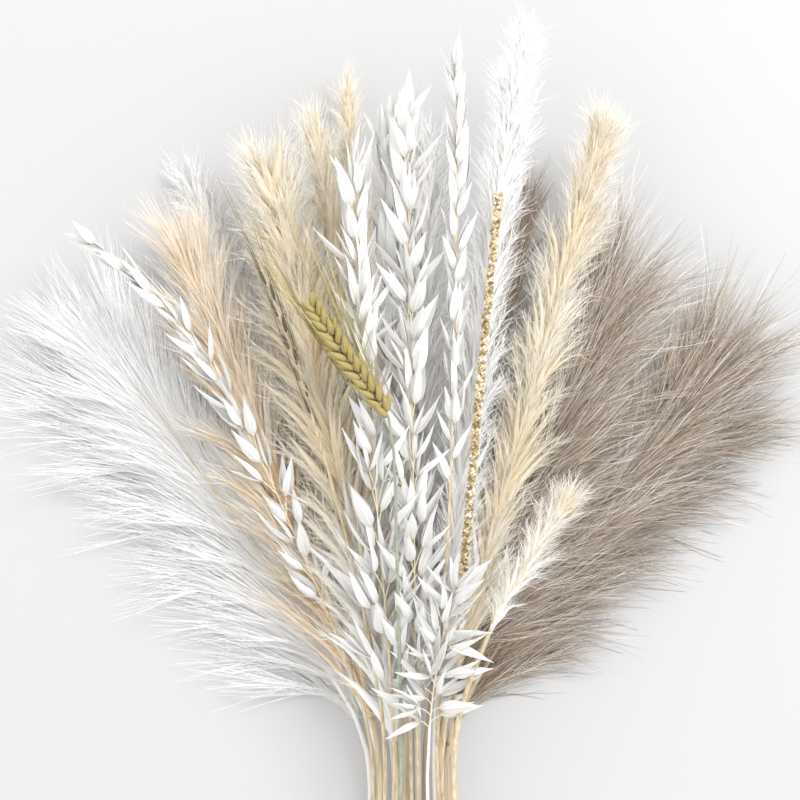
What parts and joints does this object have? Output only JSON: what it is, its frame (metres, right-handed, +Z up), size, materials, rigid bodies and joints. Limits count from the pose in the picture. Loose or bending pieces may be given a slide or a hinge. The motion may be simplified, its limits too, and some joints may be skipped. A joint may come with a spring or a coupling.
{
  "type": "bundle of pampas grass",
  "caption": "Bundle of dried pampas and feather grass plumes with oats, wheat and a glittered reed, fanned out from gathered stems and laid flat.",
  "frame": {"origin": "under the middle of the laid-down bundle, on the surface that it rests on", "axes": "+Y from the cut stem ends to the plume tips, +X across the fan, +Z up from the table"},
  "size_m": [0.4276, 0.4862, 0.0986],
  "materials": {
    "white_plume": "fine matt silky hair",
    "cream_plume": "fine matt tufted hair",
    "peach_plume": "fine silky hair",
    "taupe_plume": "fine silky hair",
    "oat_husk": "thin papery bleached husk",
    "wheat": "dry satin husk and beard",
    "dark_ear": "dry dark husk and beard",
    "gold_glitter": "gold glitter grains on a reed",
    "straw_stem": "smooth dry straw",
    "bleached_stem": "smooth bleached straw"
  },
  "bodies": {
    "root": {"white_feather_low": "white_plume", "white_feather_low_stem": "bleached_stem", "white_pampas_back": "white_plume", "white_pampas_back_stem": "bleached_stem", "white_pampas_middle": "white_plume", "white_pampas_middle_stem": "bleached_stem", "taupe_feather_low": "taupe_plume", "taupe_feather_low_stem": "straw_stem", "white_feather_high": "white_plume", "white_feather_high_stem": "bleached_stem", "cream_pampas_thin": "cream_plume", "cream_pampas_thin_stem": "straw_stem", "taupe_feather_narrow": "taupe_plume", "taupe_feather_narrow_stem": "straw_stem", "taupe_feather_middle": "taupe_plume", "taupe_feather_middle_stem": "straw_stem", "peach_pampas": "peach_plume", "peach_pampas_stem": "straw_stem", "cream_pampas_slim": "cream_plume", "cream_pampas_slim_stem": "straw_stem", "taupe_feather_high": "taupe_plume", "taupe_feather_high_stem": "straw_stem", "oats_left": "oat_husk", "oats_left_stem": "straw_stem", "cream_pampas_full": "cream_plume", "cream_pampas_full_stem": "straw_stem", "oats_back": "oat_husk", "oats_back_stem": "straw_stem", "cream_pampas_right": "cream_plume", "cream_pampas_right_stem": "straw_stem", "dark_bearded_ear": "dark_ear", "dark_bearded_ear_stem": "straw_stem", "white_pampas_tall": "white_plume", "white_pampas_tall_stem": "bleached_stem", "oats_front_left": "oat_husk", "oats_front_left_stem": "straw_stem", "oats_front_right": "oat_husk", "oats_front_right_stem": "straw_stem", "oats_tall": "oat_husk", "oats_tall_stem": "straw_stem", "gold_reed": "gold_glitter", "gold_reed_stem": "straw_stem", "wheat_ear": "wheat", "wheat_ear_stem": "straw_stem", "oats_low": "oat_husk", "oats_low_stem": "bleached_stem", "cream_pampas_small": "cream_plume", "cream_pampas_small_stem": "straw_stem"}
  },
  "joints": []
}
